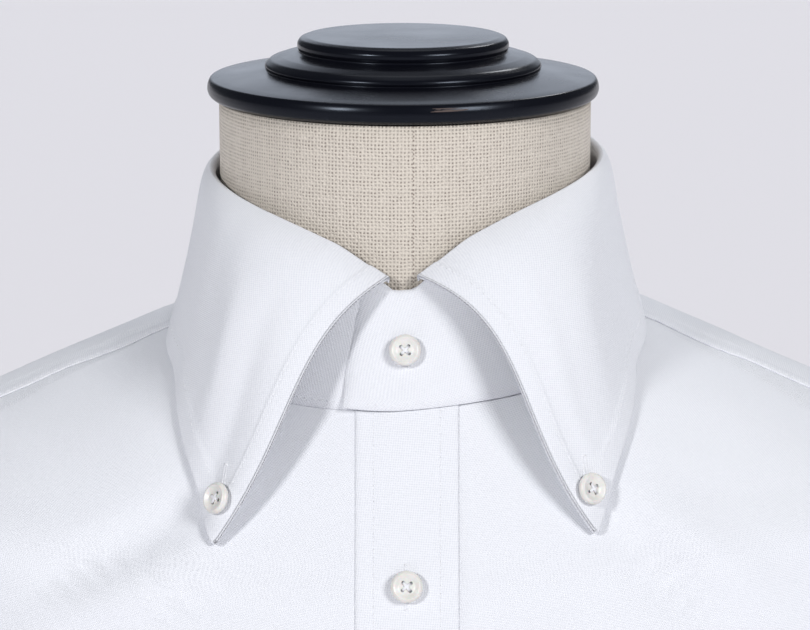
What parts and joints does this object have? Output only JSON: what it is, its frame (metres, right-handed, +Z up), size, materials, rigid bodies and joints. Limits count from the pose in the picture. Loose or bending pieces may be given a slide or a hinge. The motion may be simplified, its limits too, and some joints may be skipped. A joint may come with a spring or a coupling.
{
  "type": "button-down shirt on a dress form",
  "caption": "Long-sleeved woven dress shirt with a button-down point collar, buttoned on a limbless counter-top dress form with a turned neck cap, pole and round base.",
  "frame": {"origin": "middle of the underside of the round base", "axes": "+Z up along the neck; -Y is the front of the shirt, with its placket; +X is the wearer's left"},
  "size_m": [0.574, 0.33, 1.0045],
  "materials": {
    "cotton": "white fine-woven cotton, matte",
    "resin": "cream translucent resin, satin",
    "linen": "beige coarse plain-woven linen, matte",
    "lacquer": "turned wood, black satin lacquer"
  },
  "bodies": {
    "root": {"back": "cotton", "yoke": "cotton", "front_left": "cotton", "front_right": "cotton", "placket": "cotton", "collar_stand": "cotton", "collar_leaf": "cotton", "sleeve_left": "cotton", "sleeve_right": "cotton", "cuff_left": "cotton", "cuff_right": "cotton", "button_collar_left": "resin", "button_collar_right": "resin", "button_stand": "resin", "button_front_1": "resin", "button_front_2": "resin", "button_front_3": "resin", "button_front_4": "resin", "button_front_5": "resin", "button_front_6": "resin", "button_cuff_left": "resin", "button_cuff_right": "resin", "torso": "linen", "neck_cap": "lacquer", "pole": "lacquer", "base": "lacquer"}
  },
  "joints": []
}
